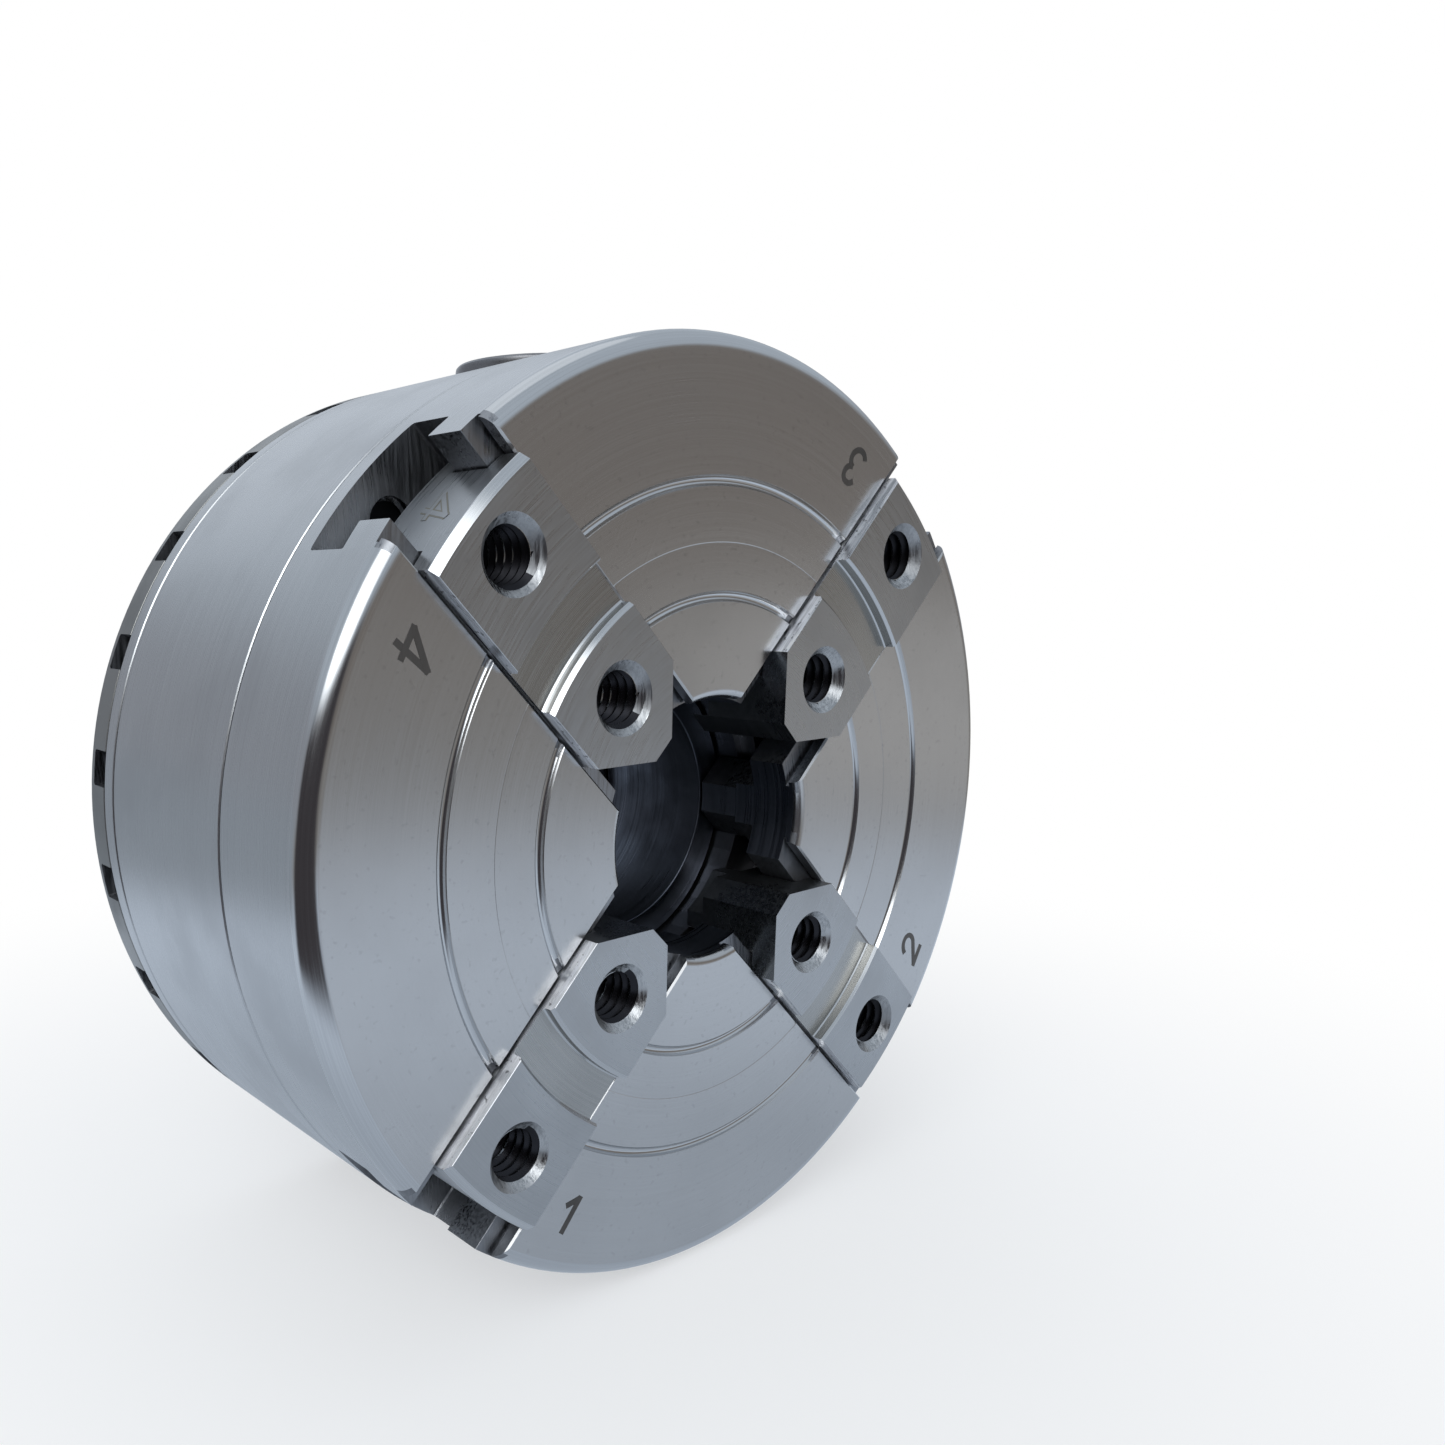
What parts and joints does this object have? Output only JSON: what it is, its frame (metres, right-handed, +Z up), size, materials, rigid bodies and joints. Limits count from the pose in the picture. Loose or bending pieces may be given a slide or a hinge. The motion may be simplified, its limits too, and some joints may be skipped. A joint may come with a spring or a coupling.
{
  "type": "lathe chuck",
  "caption": "Self-centring scroll chuck with master jaws in radial tee slots, bevel pinions with square key sockets, a notched index ring and a threaded spindle adapter.",
  "frame": {"origin": "centre of the rear register face, on the spindle axis", "axes": "+Y along the spindle axis towards the headstock, so the work end faces -Y; +Z up through the top pinion; +X to the right seen from the work end"},
  "size_m": [0.125, 0.0631, 0.1258],
  "materials": {
    "turned_steel": "fine turned, bright, lightly oiled",
    "ground_steel": "surface ground on top, milled on the sides",
    "hardened_steel": "hardened, dark satin",
    "black_screw_steel": "black oxide"
  },
  "bodies": {
    "body": {"front_body": "turned_steel", "rear_body": "turned_steel", "rear_cover": "turned_steel", "index_ring": "turned_steel", "spindle_adapter": "turned_steel", "body_screw_1": "black_screw_steel", "body_screw_2": "black_screw_steel", "body_screw_3": "black_screw_steel", "body_screw_4": "black_screw_steel", "ring_screw_1": "black_screw_steel", "ring_screw_2": "black_screw_steel", "ring_screw_3": "black_screw_steel", "ring_screw_4": "black_screw_steel", "adapter_screw_1": "black_screw_steel", "adapter_screw_2": "black_screw_steel", "adapter_screw_3": "black_screw_steel", "adapter_screw_4": "black_screw_steel", "pinion_pin_top": "hardened_steel", "pinion_pin_bottom": "hardened_steel"},
    "scroll": {"scroll_ring": "hardened_steel"},
    "jaw_1": {"jaw_1": "ground_steel"},
    "jaw_2": {"jaw_2": "ground_steel"},
    "jaw_3": {"jaw_3": "ground_steel"},
    "jaw_4": {"jaw_4": "ground_steel"},
    "pinion_top": {"pinion_top": "hardened_steel"},
    "pinion_bottom": {"pinion_bottom": "hardened_steel"}
  },
  "joints": [
    {"name": "scroll_spin", "type": "hinge", "parent": "body", "child": "scroll", "pos_m": [0, -0.042, 0], "axis": [0, 1, 0], "range_deg": [-895, 535]},
    {"name": "jaw_1_slide", "type": "slide", "parent": "body", "child": "jaw_1", "axis": [-0.7071, 0, -0.7071], "range_m": [-0.015, 0.009]},
    {"name": "jaw_2_slide", "type": "slide", "parent": "body", "child": "jaw_2", "axis": [0.7071, 0, -0.7071], "range_m": [-0.015, 0.009]},
    {"name": "jaw_3_slide", "type": "slide", "parent": "body", "child": "jaw_3", "axis": [0.7071, 0, 0.7071], "range_m": [-0.015, 0.009]},
    {"name": "jaw_4_slide", "type": "slide", "parent": "body", "child": "jaw_4", "axis": [-0.7071, 0, 0.7071], "range_m": [-0.015, 0.009]},
    {"name": "pinion_top_spin", "type": "hinge", "parent": "body", "child": "pinion_top", "pos_m": [0, -0.0247, 0.045], "axis": [0, 0, 1], "range_deg": [-3600, 2160]},
    {"name": "pinion_bottom_spin", "type": "hinge", "parent": "body", "child": "pinion_bottom", "pos_m": [0, -0.0247, -0.045], "axis": [0, 0, -1], "range_deg": [-3600, 2160]}
  ],
  "couplings": [
    {"joint": "jaw_1_slide", "follows": "scroll_spin", "m_per_rad": 0.00095493},
    {"joint": "jaw_2_slide", "follows": "scroll_spin", "m_per_rad": 0.00095493},
    {"joint": "jaw_3_slide", "follows": "scroll_spin", "m_per_rad": 0.00095493},
    {"joint": "jaw_4_slide", "follows": "scroll_spin", "m_per_rad": 0.00095493},
    {"joint": "pinion_top_spin", "follows": "scroll_spin", "ratio": 4},
    {"joint": "pinion_bottom_spin", "follows": "scroll_spin", "ratio": 4}
  ]
}
